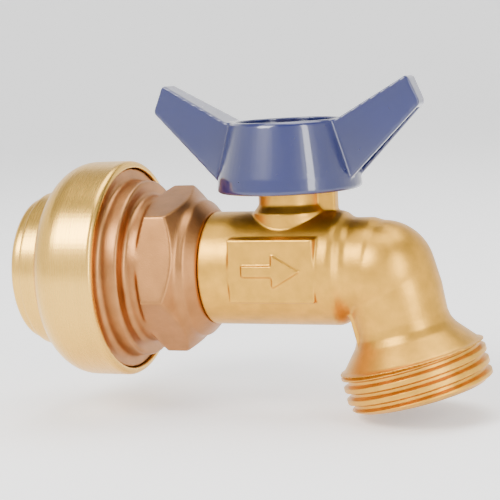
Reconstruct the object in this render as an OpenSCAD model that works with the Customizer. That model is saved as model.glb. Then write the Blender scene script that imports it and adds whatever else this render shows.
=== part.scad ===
// Quarter-turn hose bib with a push-to-connect inlet, in millimetres.
// The origin is the centre of the tube stop, on the pipe axis. +X runs with the water, +Z is up.

/* [Tube socket] */
// Outside diameter of the supply tube
tube_d = 22.22; // [22.2:0.01:22.3]
// Gap between the tube and the socket wall, each side
tube_gap = 0.09; // [0.05:0.01:0.15]
// Depth from the collar's lip to the tube stop
socket_depth = 26.2; // [26:0.1:27]
// Travel of the release collar
collar_travel = 2.3; // [1:0.1:2.3]

/* [Push-fit cap] */
// Outside diameter of the cap
cap_d = 41.24; // [41:0.1:42]
// Radius of the cap's round shoulder
cap_shoulder_r = 6.8; // [6.6:0.1:7]
// Outside diameter of the release collar
collar_d = 27.74; // [27.5:0.02:27.8]

/* [Inlet connector] */
// Size across the corners of the hexagon
hex_corners = 32; // [31.6:0.1:32.4]
// Turn of the hexagon on the pipe axis
hex_turn = 44; // [0:1:60]
// Diameter of the turned step behind the cap
step_d = 33.52; // [33:0.1:34]

/* [Barrel and elbow] */
// Outside diameter of the barrel
barrel_d = 21.18; // [21:0.05:21.6]
// Distance from the tube stop to the stem
stem_x = 26; // [26:0.1:26.5]
// Outside diameter of the elbow
elbow_d = 18.5; // [18.4:0.1:18.6]
// Radius of the elbow's bend, at the middle of the tube
bend_r = 2.8; // [2.8:0.1:2.9]
// Lean of the spout away from straight down
spout_lean = 13.8; // [12:0.1:15]
// Distance of the mouth from the stem, along the pipe
mouth_out = 23.52; // [23.4:0.01:23.8]
// Drop of the mouth below the pipe axis
mouth_drop = 23.36; // [23.2:0.01:23.8]

/* [Hose thread] */
// Major diameter of the 3/4-11.5 garden hose thread
hose_thread_d = 26.99; // [26.7:0.01:26.99]
// Length of the thread
hose_thread_len = 7.4; // [7:0.1:7.6]

/* [Ball valve] */
// Diameter of the ball
ball_d = 16.2; // [16:0.05:16.3]
// Diameter of the port through the ball
port_d = 10; // [9:0.1:10.4]
// Diameter of the stem
stem_d = 6.9; // [6.8:0.1:7]

/* [Handle] */
// Span across the two wing tips
handle_span = 50.8; // [48:0.1:54]
// Height of the wing tips above the pipe axis
handle_top = 34.6; // [33:0.1:36]
// Height of the hub's lower edge above the pipe axis
hub_low = 14.6; // [14.5:0.01:14.9]
// Height of the hub's rim above the pipe axis
hub_high = 27.46; // [27:0.01:28]
// Diameter of the hub's lower edge
hub_low_d = 26.8; // [26.4:0.1:27]
// Diameter of the hub's rim
hub_high_d = 21.24; // [21:0.1:22]

/* [Hidden] */
$fn = 96;
eps = 0.05;
// Gap left between faces that slide or turn on each other
running_gap = 0.05;

socket_r = tube_d / 2 + tube_gap;
lip_x = -socket_depth;
cap_r = cap_d / 2;
collar_r = collar_d / 2;

// Stations along the pipe axis, from the cap's neck to the barrel
neck_x = -23.8;
cap_back_x = -18.2;
ledge_x = -14.9;
hub_left_x = -12.6;
hub_thread_x = -9.5;
flange_x = -6.5;
rim_x = -5.93;
step_x = -2.55;
gland_x = -8.3;
hex_end_x = 7.15;
barrel_x = 10.7;
tail_x = stem_x - 8.3;

// Radii around the pipe axis
neck_r = 14.9;
ledge_r = 16.2;
spacer_hole_r = 13.7;
hub_thread_r = 19.3;
flange_r = 19.1;
gland_r = 14.2;
waist_r = 13.9;
connector_water_r = 8.2;
tail_r = 8.65;
water_r = 6.5;
barrel_r = barrel_d / 2;
elbow_r = elbow_d / 2;
seat_hole_r = port_d / 2;

// Stem and its seals, as heights above the pipe axis
stem_r = stem_d / 2;
flange_low = 8.3;
flange_high = 9.5;
stem_shoulder = 9.9;
boss_top = 17;
boss_r = 5.9;
lug_r = 8.95;
lug_half = 1.45;
stem_flange_r = 4.5;
o_ring_section = 1.1;
stem_o_ring_z = [11.8, 14.5];
web_low = 17.3;
web_high = 19.5;
stud_r = 2.5;
washer_high = 20;
lock_high = 20.7;
nut_high = 23.4;
stud_high = 23.8;
flat_half = 2.5;

// Spout: the mouth's centre, and how far up its axis the bend starts
mouth_x = stem_x + mouth_out;
bend_angle = 90 - spout_lean;
spout_up = mouth_drop / cos(spout_lean);
corner_x = mouth_x - spout_up * sin(spout_lean);
bend_leg = bend_r * tan(bend_angle / 2);
bend_x = corner_x - bend_leg;

// Points of an arc from one angle to another, in steps of about 9 degrees
function arc(centre, r, from, to) =
    let (steps = ceil(abs(to - from) / 9))
    [for (i = [0:steps]) let (a = from + (to - from) * i / steps)
        [centre[0] + r * cos(a), centre[1] + r * sin(a)]];

// Turns a profile of [radius, x] points around the pipe axis
module turned(points) {
    rotate([0, 90, 0])
        rotate_extrude()
            polygon(points);
}

// A cylinder along the pipe axis
module pipe_bore(r, from, to) {
    translate([from, 0, 0])
        rotate([0, 90, 0])
            cylinder(r = r, h = to - from);
}

// A flat ring around the stem
module stem_ring(outer, inner, low, high) {
    translate([stem_x, 0, low])
        difference() {
            cylinder(r = outer, h = high - low);
            translate([0, 0, -eps])
                cylinder(r = inner, h = high - low + 2 * eps);
        }
}

// A flat ring around the pipe axis
module pipe_ring(outer, inner, from, to) {
    difference() {
        pipe_bore(outer, from, to);
        pipe_bore(inner, from - eps, to + eps);
    }
}

// Places its children on the spout's axis, with the mouth at zero and the bend above it
module on_spout() {
    translate([mouth_x, 0, -mouth_drop])
        rotate([0, -spout_lean, 0])
            children();
}

// Round barrel with the step down to the elbow's diameter
module barrel_outside() {
    step_start = stem_x + 9.4;
    turned(concat(
        [[0, barrel_x], [barrel_r - 0.3, barrel_x], [barrel_r, barrel_x + 0.3]],
        [[barrel_r, step_start], [barrel_r - 0.3, step_start + 0.9]],
        [[elbow_r + 0.3, step_start + 1.9], [elbow_r, step_start + 2.8]],
        [[elbow_r, bend_x], [elbow_r - 0.5, bend_x + 1.6], [0, bend_x + 1.6]]
    ));
}

// Ball corner of the tight bend, just proud of the two tubes that run into it
module bend_outside() {
    corner_r = elbow_r + 0.3;
    half_turn = bend_angle / 2;
    reach = bend_r + elbow_r - corner_r;
    translate([bend_x + reach * sin(half_turn), 0, reach * cos(half_turn) - bend_r])
        sphere(r = corner_r);
}

// Spout from the bend down through the flare to the threaded end
module spout_outside() {
    neck_end = 12.5;
    flare_end = hose_thread_len + 0.2;
    thread_r = hose_thread_d / 2;
    bend_up = spout_up - bend_leg;
    on_spout()
        rotate_extrude()
            polygon([
                [0, 0], [thread_r - 0.8, 0], [thread_r, 0.8], [thread_r, hose_thread_len],
                [thread_r - 0.8, flare_end], [9.6, 11.2], [8.9, neck_end], [8.65, neck_end + 1.5],
                [elbow_r - 0.3, 19], [elbow_r - 0.5, bend_up + 1.6], [0, bend_up + 1.6]
            ]);
}

// Square-cornered web that fills the inside of the elbow
module elbow_web() {
    half = 5.2;
    reach = 7.8;
    on_spout()
        translate([-reach, -half, 11])
            cube([reach, 2 * half, spout_up - 11]);
}

// Boss that carries the stem, with a flared base
module stem_boss() {
    base_top = 11.6;
    translate([stem_x, 0, 0])
        rotate_extrude()
            polygon([
                [0, 6], [boss_r + 1.1, 6], [boss_r + 1.1, 10.6], [boss_r + 0.3, base_top],
                [boss_r, base_top + 0.5], [boss_r, boss_top], [0, boss_top]
            ]);
}

// Lug on the spout side of the boss that stops the handle
module stop_lug() {
    intersection() {
        translate([stem_x, 0, 6])
            cylinder(r = lug_r, h = boss_top - 6);
        translate([stem_x, -lug_half, 6])
            cube([lug_r, 2 * lug_half, boss_top - 6]);
    }
}

// Raised pad on the front of the barrel with a cast flow arrow
module front_pad() {
    pad_y = 10.75;
    pad_left = stem_x - 9.1;
    pad_right = stem_x + 7.2;
    pad_low = -5;
    pad_high = 6.6;
    translate([pad_left, -pad_y, pad_low])
        cube([pad_right - pad_left, pad_y, pad_high - pad_low]);
    translate([stem_x - 1, 1 - pad_y, 0.8])
        rotate([90, 0, 0])
            linear_extrude(1.5)
                polygon([
                    [-5.4, -1], [0.4, -1], [0.4, -3], [5.6, 0],
                    [0.4, 3], [0.4, 1], [-5.4, 1]
                ]);
}

// Passages: ball chamber, waterway, stem bore and mouth
module body_passages() {
    outlet_x = stem_x + 8.2;
    pipe_bore(tail_r, barrel_x - eps, outlet_x);
    pipe_bore(water_r, outlet_x - eps, corner_x);
    translate([corner_x, 0, 0])
        sphere(r = water_r + 0.15);
    on_spout()
        rotate_extrude()
            polygon([
                [0, -eps], [9.6, -eps], [9.6, 6.5], [water_r, 9.6],
                [water_r, spout_up], [0, spout_up]
            ]);
    translate([stem_x, 0, 0])
        cylinder(r = stem_flange_r + 0.1, h = stem_shoulder);
    translate([stem_x, 0, 0])
        cylinder(r = stem_r + running_gap, h = boss_top + eps);
}

module valve_body() {
    color("#d9b56a")
        difference() {
            union() {
                barrel_outside();
                bend_outside();
                spout_outside();
                elbow_web();
                stem_boss();
                stop_lug();
                front_pad();
            }
            body_passages();
        }
}

// Hexagon with both ends chamfered
module connector_hex() {
    corner_r = hex_corners / 2;
    intersection() {
        rotate([0, 90, 0])
            rotate([0, 0, 30 - hex_turn])
                cylinder(r = corner_r, h = hex_end_x, $fn = 6);
        turned([
            [0, 0], [waist_r - 0.1, 0], [corner_r + 0.2, 1.4],
            [corner_r + 0.2, 5.15], [13.6, hex_end_x], [0, hex_end_x]
        ]);
    }
}

module inlet_connector() {
    groove_x = barrel_x + 0.7;
    groove_end = groove_x + 1.6;
    color("#b98a62")
        difference() {
            union() {
                turned(concat(
                    [[0, hub_left_x], [hub_thread_r, hub_left_x], [hub_thread_r, hub_thread_x]],
                    [[flange_r, hub_thread_x], [flange_r, flange_x]],
                    arc([step_d / 2 + 1, flange_x + 1], 1, 270, 180),
                    [[step_d / 2, step_x - 0.3], [step_d / 2 - 0.3, step_x]],
                    arc([waist_r + 0.9, step_x + 0.9], 0.9, 270, 180),
                    [[waist_r, 0.5], [0, 0.5]]
                ));
                connector_hex();
                turned([
                    [0, 7], [13.6, hex_end_x], [13.15, 7.6], [12.95, 8.3], [12.85, 8.8],
                    [10.95, 10.6], [10.8, barrel_x], [tail_r, barrel_x],
                    [tail_r, groove_x], [7.3, groove_x], [7.3, groove_end],
                    [tail_r, groove_end], [tail_r, tail_x], [0, tail_x]
                ]);
            }
            pipe_bore(gland_r, hub_left_x - eps, gland_x);
            pipe_bore(socket_r, gland_x - eps, 0);
            pipe_bore(connector_water_r, -eps, 7.5);
            pipe_bore(water_r - 0.5, 7.5 - eps, tail_x + eps);
        }
}

module push_fit_cap() {
    shoulder_x = -13.3;
    shoulder_c = cap_r - cap_shoulder_r;
    shoulder_from = 180 - asin((neck_r - shoulder_c) / cap_shoulder_r);
    color("#e8cc8c")
        difference() {
            turned(concat(
                [[0, neck_x], [neck_r - 0.4, neck_x], [neck_r, neck_x + 0.3]],
                [for (p = arc([shoulder_x, shoulder_c], cap_shoulder_r, shoulder_from, 90))
                    [p[1], p[0]]],
                [[cap_r, rim_x - 1]],
                arc([cap_r - 1, rim_x - 1], 1, 0, 90),
                [[0, rim_x]]
            ));
            pipe_bore(collar_r + 0.08, neck_x - eps, cap_back_x + eps);
            pipe_bore(ledge_r, cap_back_x, ledge_x + eps);
            pipe_bore(hub_thread_r, ledge_x, rim_x + eps);
        }
}

module release_collar() {
    flange_end = ledge_x - collar_travel - 0.15;
    bore_r = socket_r + 0.1;
    tip_x = ledge_x - collar_travel + 0.35;
    color("#e0c07c")
        turned(concat(
            [[bore_r, lip_x + 0.7], [bore_r + 0.7, lip_x]],
            arc([collar_r - 1.2, lip_x + 1.2], 1.2, 270, 360),
            [[collar_r, cap_back_x + 0.05], [collar_r + 1.8, cap_back_x + 0.05]],
            [[collar_r + 1.8, flange_end], [bore_r + 1.9, flange_end]],
            [[bore_r + 1.1, tip_x], [bore_r, tip_x]]
        ));
}

module grab_ring() {
    teeth = 20;
    root_r = 13.3;
    tip_r = socket_r - 0.05;
    color("silver")
        difference() {
            turned([
                [18.6, ledge_x], [18.6, ledge_x + 0.4], [root_r + 0.1, ledge_x + 0.4],
                [tip_r, ledge_x + 1.75], [tip_r, ledge_x + 1.3], [root_r - 0.05, ledge_x]
            ]);
            for (i = [0:teeth - 1])
                rotate([i * 360 / teeth, 0, 0])
                    translate([ledge_x - 1, -0.5, 0])
                        cube([4, 1, root_r]);
        }
}

module grab_ring_spacer() {
    color("white")
        pipe_ring(18.9, spacer_hole_r, ledge_x + 0.4, hub_left_x);
}

module o_ring_protector() {
    color("white")
        pipe_ring(gland_r, socket_r + 0.1, hub_left_x + 0.1, hub_left_x + 1.25);
}

module socket_o_ring() {
    section_r = (gland_r - socket_r) / 2;
    rotate([0, 90, 0])
        color("#202020")
            translate([0, 0, gland_x - section_r])
                rotate_extrude()
                    translate([gland_r - section_r, 0])
                        circle(r = section_r, $fn = 48);
}

module connector_o_ring() {
    section_r = (tail_r - 7.3) / 2;
    rotate([0, 90, 0])
        color("#202020")
            translate([0, 0, barrel_x + 1.5])
                rotate_extrude()
                    translate([tail_r - section_r, 0])
                        circle(r = section_r, $fn = 48);
}

module ball() {
    slot_low = 6.1;
    slot_half = 1.6;
    color("#d8dade")
        translate([stem_x, 0, 0])
            difference() {
                sphere(r = ball_d / 2);
                translate([-ball_d, 0, 0])
                    rotate([0, 90, 0])
                        cylinder(r = port_d / 2, h = 2 * ball_d);
                translate([-ball_d, -slot_half, slot_low])
                    cube([2 * ball_d, 2 * slot_half, ball_d]);
            }
}

// Seat ring on the inlet side; the other seat is its mirror image
module seat_ring() {
    seat_near = 4.6;
    seat_far = 8.2;
    difference() {
        pipe_bore(tail_r, -seat_far, -seat_near);
        pipe_bore(seat_hole_r, -seat_far - eps, -seat_near + eps);
        sphere(r = ball_d / 2 + running_gap);
    }
}

module inlet_seat() {
    color("#f4f4f0")
        translate([stem_x, 0, 0])
            seat_ring();
}

module outlet_seat() {
    color("#f4f4f0")
        translate([stem_x, 0, 0])
            mirror([1, 0, 0])
                seat_ring();
}

// Part of the stem that carries the handle: a round bar with two flats
module flatted_bar(low, high) {
    intersection() {
        translate([stem_x, 0, low])
            cylinder(r = stem_r, h = high - low);
        translate([stem_x - stem_r, -flat_half, low])
            cube([2 * stem_r, 2 * flat_half, high - low]);
    }
}

module stem() {
    tang_low = 6.3;
    tang_half = 1.5;
    groove_r = stem_r - o_ring_section;
    groove_w = o_ring_section + 0.1;
    color("#c8a050")
        difference() {
            union() {
                translate([stem_x - 3.2, -tang_half, tang_low])
                    cube([6.4, 2 * tang_half, flange_high - tang_low]);
                translate([stem_x, 0, flange_low])
                    cylinder(r = stem_flange_r, h = flange_high - flange_low);
                translate([stem_x, 0, flange_low])
                    cylinder(r = stem_r, h = web_low - flange_low);
                flatted_bar(web_low - eps, web_high - 0.1);
                translate([stem_x, 0, web_low])
                    cylinder(r = stud_r, h = stud_high - web_low);
            }
            for (z = stem_o_ring_z)
                stem_ring(stem_r + 1, groove_r, z - groove_w / 2, z + groove_w / 2);
        }
}

module stem_thrust_washer() {
    color("#f4f4f0")
        stem_ring(stem_flange_r, stem_r, flange_high, stem_shoulder - 0.02);
}

module stem_o_ring(z) {
    section_r = o_ring_section / 2;
    color("#202020")
        translate([stem_x, 0, z])
            rotate_extrude()
                translate([stem_r - section_r, 0])
                    circle(r = section_r, $fn = 48);
}

module lower_stem_o_ring() {
    stem_o_ring(stem_o_ring_z[0]);
}

module upper_stem_o_ring() {
    stem_o_ring(stem_o_ring_z[1]);
}

// Outside of the handle's hub: a short upright band under a cone
module hub_outside() {
    low_r = hub_low_d / 2;
    high_r = hub_high_d / 2;
    band_high = hub_low + 2.8;
    translate([stem_x, 0, 0])
        rotate_extrude()
            polygon([
                [0, hub_low], [low_r - 0.4, hub_low], [low_r, hub_low + 0.4],
                [low_r - 0.2, band_high], [high_r + 0.1, hub_high - 0.5],
                [high_r - 0.4, hub_high], [0, hub_high]
            ]);
}

// Hollows of the hub: the cup above the web and the skirt below it
module hub_hollows() {
    cup_top_r = hub_high_d / 2 - 1.3;
    cup_low_r = 11;
    translate([stem_x, 0, 0])
        rotate_extrude()
            polygon([
                [0, web_high], [cup_low_r, web_high], [cup_top_r, hub_high],
                [cup_top_r, hub_high + 1], [0, hub_high + 1]
            ]);
    translate([stem_x, 0, hub_low - 1])
        cylinder(r = 11.7, h = web_low - hub_low + 1);
}

// Side outline of one wing, moved in from its edges by a wall and open along its lower edge
module wing_side(wall, open) {
    tip_x = handle_span / 2;
    low_z = hub_low + 2.2;
    polygon([
        [8, low_z - open], [12.9 + open, low_z - open],
        [tip_x - wall + open, handle_top - 5.2 - open], [tip_x - wall, handle_top - 5.2],
        [tip_x - wall, handle_top - 4.4], [tip_x - 1.7 - wall, handle_top - 0.4 - wall],
        [tip_x - 2.3 - wall, handle_top - wall],
        [10.6, hub_high - wall], [8, hub_high - wall]
    ]);
}

// One wing, thick at the hub and thin at the tip
module wing_block(wall, open) {
    root_half = 4.4 - wall;
    tip_half = 1.85 - wall;
    tip_x = handle_span / 2 + 3;
    intersection() {
        rotate([90, 0, 0])
            linear_extrude(20, center = true)
                wing_side(wall, open);
        linear_extrude(handle_top + 1)
            polygon([[8, -root_half], [tip_x, -tip_half], [tip_x, tip_half], [8, root_half]]);
    }
}

// Rib under the web that meets the stop lug
module stop_rib() {
    intersection() {
        difference() {
            cylinder(r = 11.8, h = web_low - hub_low);
            translate([0, 0, -eps])
                cylinder(r = boss_r + 0.3, h = web_low);
        }
        translate([0, -lug_half - 2.6, 0.3])
            cube([12, 2.5, web_low]);
    }
}

module handle() {
    wall = 1.3;
    color("#1c3f86")
        difference() {
            union() {
                difference() {
                    union() {
                        hub_outside();
                        for (side = [0, 180])
                            translate([stem_x, 0, 0])
                                rotate([0, 0, side])
                                    wing_block(0, 0);
                    }
                    hub_hollows();
                    difference() {
                        for (side = [0, 180])
                            translate([stem_x, 0, 0])
                                rotate([0, 0, side])
                                    wing_block(wall, 2);
                        hub_outside();
                    }
                }
                translate([stem_x, 0, hub_low])
                    stop_rib();
                translate([stem_x, 0, hub_low])
                    rotate([0, 0, 90])
                        mirror([0, 1, 0])
                            stop_rib();
            }
            flatted_bar(hub_low, web_high + eps);
        }
}

module handle_washer() {
    color("silver")
        stem_ring(5.2, stud_r, web_high, washer_high);
}

module lock_washer() {
    color("silver")
        difference() {
            stem_ring(4.4, stud_r, washer_high, lock_high);
            translate([stem_x, -0.4, washer_high - eps])
                cube([6, 0.8, lock_high - washer_high + 2 * eps]);
        }
}

module handle_nut() {
    across_flats = 8;
    color("silver")
        translate([stem_x, 0, lock_high])
            difference() {
                cylinder(r = across_flats / 2 / cos(30), h = nut_high - lock_high, $fn = 6);
                translate([0, 0, -eps])
                    cylinder(r = stud_r, h = nut_high - lock_high + 2 * eps);
            }
}

valve_body();
inlet_connector();
push_fit_cap();
release_collar();
grab_ring();
grab_ring_spacer();
o_ring_protector();
socket_o_ring();
connector_o_ring();
ball();
inlet_seat();
outlet_seat();
stem();
stem_thrust_washer();
lower_stem_o_ring();
upper_stem_o_ring();
handle();
handle_washer();
lock_washer();
handle_nut();
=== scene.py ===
from math import cos, pi, radians, sin

import bmesh
import bpy
from mathutils import Matrix, Vector


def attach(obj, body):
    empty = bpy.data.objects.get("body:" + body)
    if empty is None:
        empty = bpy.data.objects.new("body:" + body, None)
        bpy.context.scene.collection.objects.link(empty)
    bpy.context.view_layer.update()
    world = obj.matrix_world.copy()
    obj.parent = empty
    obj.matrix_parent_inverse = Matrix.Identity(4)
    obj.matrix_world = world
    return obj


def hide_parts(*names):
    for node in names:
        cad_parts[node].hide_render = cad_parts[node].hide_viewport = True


bl_info = {
    "name": "Hose Bib",
    "version": (1, 0, 0),
    "blender": (4, 5, 0),
    "location": "View3D > Sidebar > Hose Bib",
    "description": "Finishes and fine shapes for a quarter-turn hose bib",
    "category": "Object",
}

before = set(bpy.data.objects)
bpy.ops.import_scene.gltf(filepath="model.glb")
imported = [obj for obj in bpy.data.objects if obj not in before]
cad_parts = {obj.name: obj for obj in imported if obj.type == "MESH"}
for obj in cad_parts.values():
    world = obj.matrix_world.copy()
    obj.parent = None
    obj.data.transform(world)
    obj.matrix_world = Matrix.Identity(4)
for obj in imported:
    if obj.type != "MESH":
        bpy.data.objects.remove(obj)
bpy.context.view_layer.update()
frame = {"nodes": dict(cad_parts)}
MM = 0.001

# The spout, in millimetres: mouth centre and lean, as in the CAD source
MOUTH = Vector((49.52, 0.0, -23.36))
SPOUT_LEAN = radians(13.8)
THREAD_LENGTH = 7.4

# Finishes: layers of noise, how much coarser the tint is than the grain, and the grain's height
NOISE_DETAIL = 4.0
TINT_TO_GRAIN = 14
RELIEF_HEIGHT = 0.00006
COAT_ROUGHNESS = 0.06

# Cell sizes that keep the edges of each kind of piece as round as the real ones, in metres
FINE_CELL = 0.00022
FORGED_CELL = 0.00025


class HoseBibSettings(bpy.types.PropertyGroup):
    """Sizes and colours of the hose bib."""

    grain: bpy.props.FloatProperty(
        name="Body voxel", description="Cell size of the cast body's rounded surface",
        default=0.00022, min=0.0001, max=0.001, unit="LENGTH", precision=5)
    thread_pitch: bpy.props.FloatProperty(
        name="Thread pitch", description="Distance from crest to crest of the hose thread",
        default=0.002209, min=0.001, max=0.004, unit="LENGTH", precision=5)
    thread_depth: bpy.props.FloatProperty(
        name="Thread depth", description="Depth of the hose thread",
        default=0.0011, min=0.0002, max=0.002, unit="LENGTH", precision=5)
    cast_colour: bpy.props.FloatVectorProperty(
        name="Cast brass", description="Colour of the cast body",
        subtype="COLOR", size=3, default=(0.66, 0.34, 0.04), min=0, max=1)
    forged_colour: bpy.props.FloatVectorProperty(
        name="Forged brass", description="Colour of the inlet connector",
        subtype="COLOR", size=3, default=(0.40, 0.18, 0.06), min=0, max=1)
    turned_colour: bpy.props.FloatVectorProperty(
        name="Turned brass", description="Colour of the cap and the collar",
        subtype="COLOR", size=3, default=(0.82, 0.48, 0.09), min=0, max=1)
    enamel_colour: bpy.props.FloatVectorProperty(
        name="Enamel", description="Colour of the handle",
        subtype="COLOR", size=3, default=(0.001, 0.005, 0.07), min=0, max=1)


def noise(nodes, links, scale, stretch):
    """Noise in the object's own metres, stretched along its axes."""
    place = nodes.new("ShaderNodeTexCoord")
    mapping = nodes.new("ShaderNodeMapping")
    mapping.inputs["Scale"].default_value = stretch
    texture = nodes.new("ShaderNodeTexNoise")
    texture.inputs["Scale"].default_value = scale
    texture.inputs["Detail"].default_value = NOISE_DETAIL
    links.new(place.outputs["Object"], mapping.inputs["Vector"])
    links.new(mapping.outputs["Vector"], texture.inputs["Vector"])
    return texture.outputs["Fac"]


def finish_of(name, colour, metal, rough, grain, bump, spread=0.12, stretch=(1, 1, 1), coat=0.0):
    """A procedural finish: colour and roughness vary slightly, and a fine bump follows the grain."""
    material = bpy.data.materials.new(name)
    material.use_nodes = True
    nodes, links = material.node_tree.nodes, material.node_tree.links
    shader = nodes["Principled BSDF"]
    shader.inputs["Metallic"].default_value = metal
    shader.inputs["Coat Weight"].default_value = coat
    shader.inputs["Coat Roughness"].default_value = COAT_ROUGHNESS
    fine = noise(nodes, links, grain, stretch)
    broad = noise(nodes, links, grain / TINT_TO_GRAIN, stretch)
    tint = nodes.new("ShaderNodeValToRGB")
    tint.color_ramp.elements[0].position = 0.3
    tint.color_ramp.elements[1].position = 0.7
    tint.color_ramp.elements[0].color = [c * (1 - spread) for c in colour] + [1]
    tint.color_ramp.elements[1].color = [min(1, c * (1 + spread)) for c in colour] + [1]
    links.new(broad, tint.inputs["Fac"])
    links.new(tint.outputs["Color"], shader.inputs["Base Color"])
    dull = nodes.new("ShaderNodeMapRange")
    dull.inputs["To Min"].default_value = rough * 0.8
    dull.inputs["To Max"].default_value = rough * 1.2
    links.new(fine, dull.inputs["Value"])
    links.new(dull.outputs["Result"], shader.inputs["Roughness"])
    relief = nodes.new("ShaderNodeBump")
    relief.inputs["Strength"].default_value = bump
    relief.inputs["Distance"].default_value = RELIEF_HEIGHT
    links.new(fine, relief.inputs["Height"])
    links.new(relief.outputs["Normal"], shader.inputs["Normal"])
    return material


def paint(obj, material):
    """Gives a piece one finish."""
    obj.data.materials.clear()
    obj.data.materials.append(material)


def soften(obj, voxel, passes):
    """Rounds every edge of a piece the way casting or tumbling does."""
    remesh = obj.modifiers.new("Round", "REMESH")
    remesh.mode = "VOXEL"
    remesh.voxel_size = voxel
    remesh.use_smooth_shade = True
    smooth = obj.modifiers.new("Even", "SMOOTH")
    smooth.factor = 0.5
    smooth.iterations = passes


def thread_height(turn, along, pitch, length):
    """Height from 0 at the root to 1 at the crest, at a turn and a distance from the mouth."""
    crest_width, steepness = 2.1, 5.6
    run_in, run_out = 0.4 * pitch, 0.3 * pitch
    phase = (along / pitch - turn) % 1.0
    flank = min(1.0, max(0.0, crest_width - abs(phase - 0.5) * steepness))
    fade = min(1.0, along / run_in) * min(1.0, (length - along) / run_out)
    return flank * max(0.0, fade)


def thread_sleeve(pitch, depth):
    """Closed sleeve around the spout's end with the helical hose thread on its outside."""
    crest, inner, length = 13.485, 11.0, THREAD_LENGTH
    chamfer = 0.35
    turns, steps = 180, 90
    mesh = bmesh.new()
    rings = []
    for j in range(steps + 1):
        along = length * j / steps
        edge = chamfer * max(0.0, 1 - along / chamfer)
        ring = []
        for i in range(turns):
            height = thread_height(i / turns, along, pitch, length)
            radius = crest - depth * (1 - height) - edge
            angle = 2 * pi * i / turns
            ring.append(mesh.verts.new((radius * cos(angle), radius * sin(angle), along)))
        rings.append(ring)
    for along in (length, 0.0):
        rings.append([mesh.verts.new((inner * cos(2 * pi * i / turns),
                                      inner * sin(2 * pi * i / turns), along))
                      for i in range(turns)])
    count = len(rings)
    for j in range(count):
        low, high = rings[j], rings[(j + 1) % count]
        for i in range(turns):
            k = (i + 1) % turns
            mesh.faces.new((low[i], low[k], high[k], high[i]))
    bmesh.ops.recalc_face_normals(mesh, faces=mesh.faces)
    data = bpy.data.meshes.new("hose_thread")
    mesh.to_mesh(data)
    mesh.free()
    data.polygons.foreach_set("use_smooth", [True] * len(data.polygons))
    return data


def spout_matrix():
    """Places the spout's own frame, mouth at zero, in the row frame in metres."""
    return (Matrix.Translation(MOUTH * MM) @ Matrix.Rotation(-SPOUT_LEAN, 4, "Y")
            @ Matrix.Scale(MM, 4))


class HOSEBIB_OT_cast_body(bpy.types.Operator):
    """Cast body with rounded edges and a real helical hose thread"""

    bl_idname = "hosebib.cast_body"
    bl_label = "Cast body"

    def execute(self, context):
        s = context.scene.hosebib
        source = frame["nodes"]["valve_body"]
        body = bpy.data.objects.new("cast_body", source.data.copy())
        context.scene.collection.objects.link(body)
        soften(body, s.grain, 7)
        context.view_layer.update()
        rounded = bpy.data.meshes.new_from_object(
            body.evaluated_get(context.evaluated_depsgraph_get()))
        body.modifiers.clear()
        body.data = rounded
        # Under the thread sleeve the body's wall steps in, clear of the thread's root
        wall, past_mouth, sleeve_end, mouth_step = 11.9, -0.5, THREAD_LENGTH - 0.2, 0.12
        to_spout = spout_matrix().inverted()
        back = spout_matrix()
        for vertex in rounded.vertices:
            p = to_spout @ vertex.co
            radius = (p.x ** 2 + p.y ** 2) ** 0.5
            if past_mouth < p.z < sleeve_end and radius > wall:
                keep = wall / radius
                vertex.co = back @ Vector((p.x * keep, p.y * keep, max(p.z, mouth_step)))
        thread = thread_sleeve(s.thread_pitch / MM, s.thread_depth / MM)
        thread.transform(spout_matrix())
        sleeve = bpy.data.objects.new("hose_thread", thread)
        context.scene.collection.objects.link(sleeve)
        brass = finish_of("cast_brass", s.cast_colour, 1.0, 0.36, 5200, 0.55)
        for piece in (body, sleeve):
            paint(piece, brass)
            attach(piece, "fixture")
            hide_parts("valve_body")
        return {"FINISHED"}


class HOSEBIB_OT_handle(bpy.types.Operator):
    """Blue enamelled handle with rounded edges"""

    bl_idname = "hosebib.handle"
    bl_label = "Handle"

    def execute(self, context):
        s = context.scene.hosebib
        handle = frame["nodes"]["handle"]
        soften(handle, FINE_CELL, 6)
        enamel = finish_of("handle_enamel", s.enamel_colour, 0.0, 0.3, 900, 0.10, coat=1.0)
        paint(handle, enamel)
        return {"FINISHED"}


class HOSEBIB_OT_inlet(bpy.types.Operator):
    """Inlet connector, cap and release collar"""

    bl_idname = "hosebib.inlet"
    bl_label = "Inlet"

    def execute(self, context):
        s = context.scene.hosebib
        nodes = frame["nodes"]
        forged = finish_of("forged_brass", s.forged_colour, 1.0, 0.38, 4200, 0.4)
        soften(nodes["inlet_connector"], FORGED_CELL, 4)
        paint(nodes["inlet_connector"], forged)
        lathe = (1.0, 0.04, 0.04)
        turned = finish_of("turned_brass", s.turned_colour, 1.0, 0.27, 5000, 0.22, 0.05, lathe)
        for name in ("push_fit_cap", "release_collar"):
            soften(nodes[name], FINE_CELL, 3)
            paint(nodes[name], turned)
        return {"FINISHED"}


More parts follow.
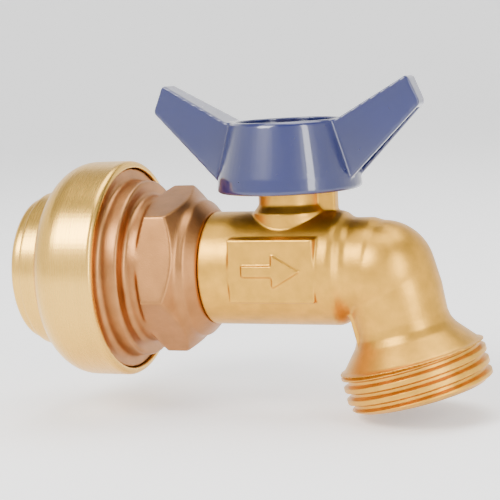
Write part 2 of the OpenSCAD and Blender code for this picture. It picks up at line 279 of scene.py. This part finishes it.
class HOSEBIB_OT_inner_parts(bpy.types.Operator):
    """Ball, stem, seats, seals and fasteners"""

    bl_idname = "hosebib.inner_parts"
    bl_label = "Inner parts"

    def execute(self, context):
        nodes = frame["nodes"]
        finishes = {
            "chromed_ball": ((0.80, 0.81, 0.83), 1.0, 0.08, ("ball",)),
            "stem_brass": ((0.72, 0.52, 0.24), 1.0, 0.25, ("stem",)),
            "spring_steel": ((0.62, 0.62, 0.62), 1.0, 0.25, ("grab_ring",)),
            "fastener_steel": ((0.70, 0.70, 0.72), 1.0, 0.28,
                               ("handle_washer", "lock_washer", "handle_nut")),
            "seat_white": ((0.80, 0.80, 0.77), 0.0, 0.45,
                           ("inlet_seat", "outlet_seat", "stem_thrust_washer")),
            "spacer_white": ((0.76, 0.76, 0.72), 0.0, 0.5,
                             ("grab_ring_spacer", "o_ring_protector")),
            "seal_rubber": ((0.02, 0.02, 0.02), 0.0, 0.55,
                            ("socket_o_ring", "connector_o_ring", "lower_stem_o_ring",
                             "upper_stem_o_ring")),
        }
        for slot, (colour, metal, rough, names) in finishes.items():
            material = finish_of(slot, colour, metal, rough, 3000, 0.15, 0.06)
            for name in names:
                paint(nodes[name], material)
                for polygon in nodes[name].data.polygons:
                    polygon.use_smooth = False
        return {"FINISHED"}


FLOOR_HEIGHT = -0.0275


def soft_box(name, place, size, power):
    """An area light aimed at the hose bib."""
    light = bpy.data.lights.new(name, "AREA")
    light.shape = "RECTANGLE"
    light.size, light.size_y = size
    light.energy = power
    lamp = bpy.data.objects.new(name, light)
    lamp.location = place
    aim = Vector((0.02, 0, 0)) - lamp.location
    lamp.rotation_euler = aim.to_track_quat("-Z", "Y").to_euler()
    lamp.visible_camera = False
    bpy.context.scene.collection.objects.link(lamp)
    return lamp


def backdrop():
    """A pale round floor with a rim that curves up."""
    flat, curve, top = 1.0, 0.5, 1.1
    profile = [(flat / 2, 0.0), (flat, 0.0)]
    for degrees in range(10, 91, 10):
        angle = radians(degrees)
        profile.append((flat + curve * sin(angle), curve - curve * cos(angle)))
    profile.append((flat + curve, top))
    mesh = bmesh.new()
    turns = 96
    centre = mesh.verts.new((0, 0, 0))
    previous = None
    for radius, height in profile:
        ring = [mesh.verts.new((radius * cos(2 * pi * i / turns),
                                radius * sin(2 * pi * i / turns), height)) for i in range(turns)]
        for i in range(turns):
            k = (i + 1) % turns
            if previous is None:
                mesh.faces.new((centre, ring[i], ring[k]))
            else:
                mesh.faces.new((previous[i], ring[i], ring[k], previous[k]))
        previous = ring
    data = bpy.data.meshes.new("floor")
    mesh.to_mesh(data)
    mesh.free()
    data.polygons.foreach_set("use_smooth", [True] * len(data.polygons))
    floor = bpy.data.objects.new("floor", data)
    floor.location = (0.02, 0, FLOOR_HEIGHT)
    bpy.context.scene.collection.objects.link(floor)
    white = finish_of("floor_white", (0.88, 0.88, 0.88), 0.0, 0.8, 40, 0.02, 0.01)
    glow = white.node_tree.nodes["Principled BSDF"].inputs
    glow["Emission Color"].default_value = (1, 1, 1, 1)
    glow["Emission Strength"].default_value = 0.45
    data.materials.append(white)
    return floor


class HOSEBIB_OT_stage(bpy.types.Operator):
    """Floor, lights and camera"""

    bl_idname = "hosebib.stage"
    bl_label = "Stage"

    def execute(self, context):
        scene = context.scene
        floor = backdrop()
        lamps = [
            soft_box("key_light", (-0.25, -0.45, 0.45), (0.3, 0.3), 5),
            soft_box("fill_light", (0.5, -0.35, 0.2), (0.12, 0.5), 2.5),
            soft_box("top_light", (0.05, 0.1, 0.6), (0.5, 0.5), 4),
        ]
        world = bpy.data.worlds.new("studio")
        world.use_nodes = True
        world.node_tree.nodes["Background"].inputs["Color"].default_value = (1, 1, 1, 1)
        world.node_tree.nodes["Background"].inputs["Strength"].default_value = 0.6
        scene.world = world
        azimuth, elevation, roll = radians(20.46), radians(7.37), radians(-3.0)
        back = Vector((sin(azimuth) * cos(elevation), -cos(azimuth) * cos(elevation),
                       sin(elevation)))
        right = Vector((cos(azimuth), sin(azimuth), 0))
        up = back.cross(right)
        side = cos(roll) * right + sin(roll) * up
        top = cos(roll) * up - sin(roll) * right
        stem = Vector((26, 0, 0))
        distance, shift_side, shift_top = 278.99, -8.16, 3.25
        place = (stem + back * distance + side * shift_side + top * shift_top) * MM
        lens = bpy.data.cameras.new("camera")
        lens.sensor_width = 36
        lens.lens = 108.1
        lens.clip_start = 0.01
        lens.dof.use_dof = False
        camera = bpy.data.objects.new("camera", lens)
        turn = Matrix((side, top, back)).transposed().to_4x4()
        camera.matrix_world = Matrix.Translation(place) @ turn
        scene.collection.objects.link(camera)
        scene.camera = camera
        return {"FINISHED"}


OPERATORS = (HOSEBIB_OT_cast_body, HOSEBIB_OT_handle, HOSEBIB_OT_inlet,
             HOSEBIB_OT_inner_parts, HOSEBIB_OT_stage)


class HOSEBIB_PT_panel(bpy.types.Panel):
    """Lists the hose bib's pieces and settings"""

    bl_idname = "HOSEBIB_PT_panel"
    bl_label = "Hose Bib"
    bl_space_type = "VIEW_3D"
    bl_region_type = "UI"
    bl_category = "Hose Bib"

    def draw(self, context):
        for name in HoseBibSettings.__annotations__:
            self.layout.prop(context.scene.hosebib, name)
        for operator in OPERATORS:
            self.layout.operator(operator.bl_idname)


def register():
    for cls in (HoseBibSettings, *OPERATORS, HOSEBIB_PT_panel):
        bpy.utils.register_class(cls)
    bpy.types.Scene.hosebib = bpy.props.PointerProperty(type=HoseBibSettings)


def unregister():
    del bpy.types.Scene.hosebib
    for cls in reversed((HoseBibSettings, *OPERATORS, HOSEBIB_PT_panel)):
        bpy.utils.unregister_class(cls)


def main():
    register()
    bpy.ops.hosebib.cast_body()
    bpy.ops.hosebib.handle()
    bpy.ops.hosebib.inlet()
    bpy.ops.hosebib.inner_parts()
    bpy.ops.hosebib.stage()


if __name__ == "__main__":
    main()
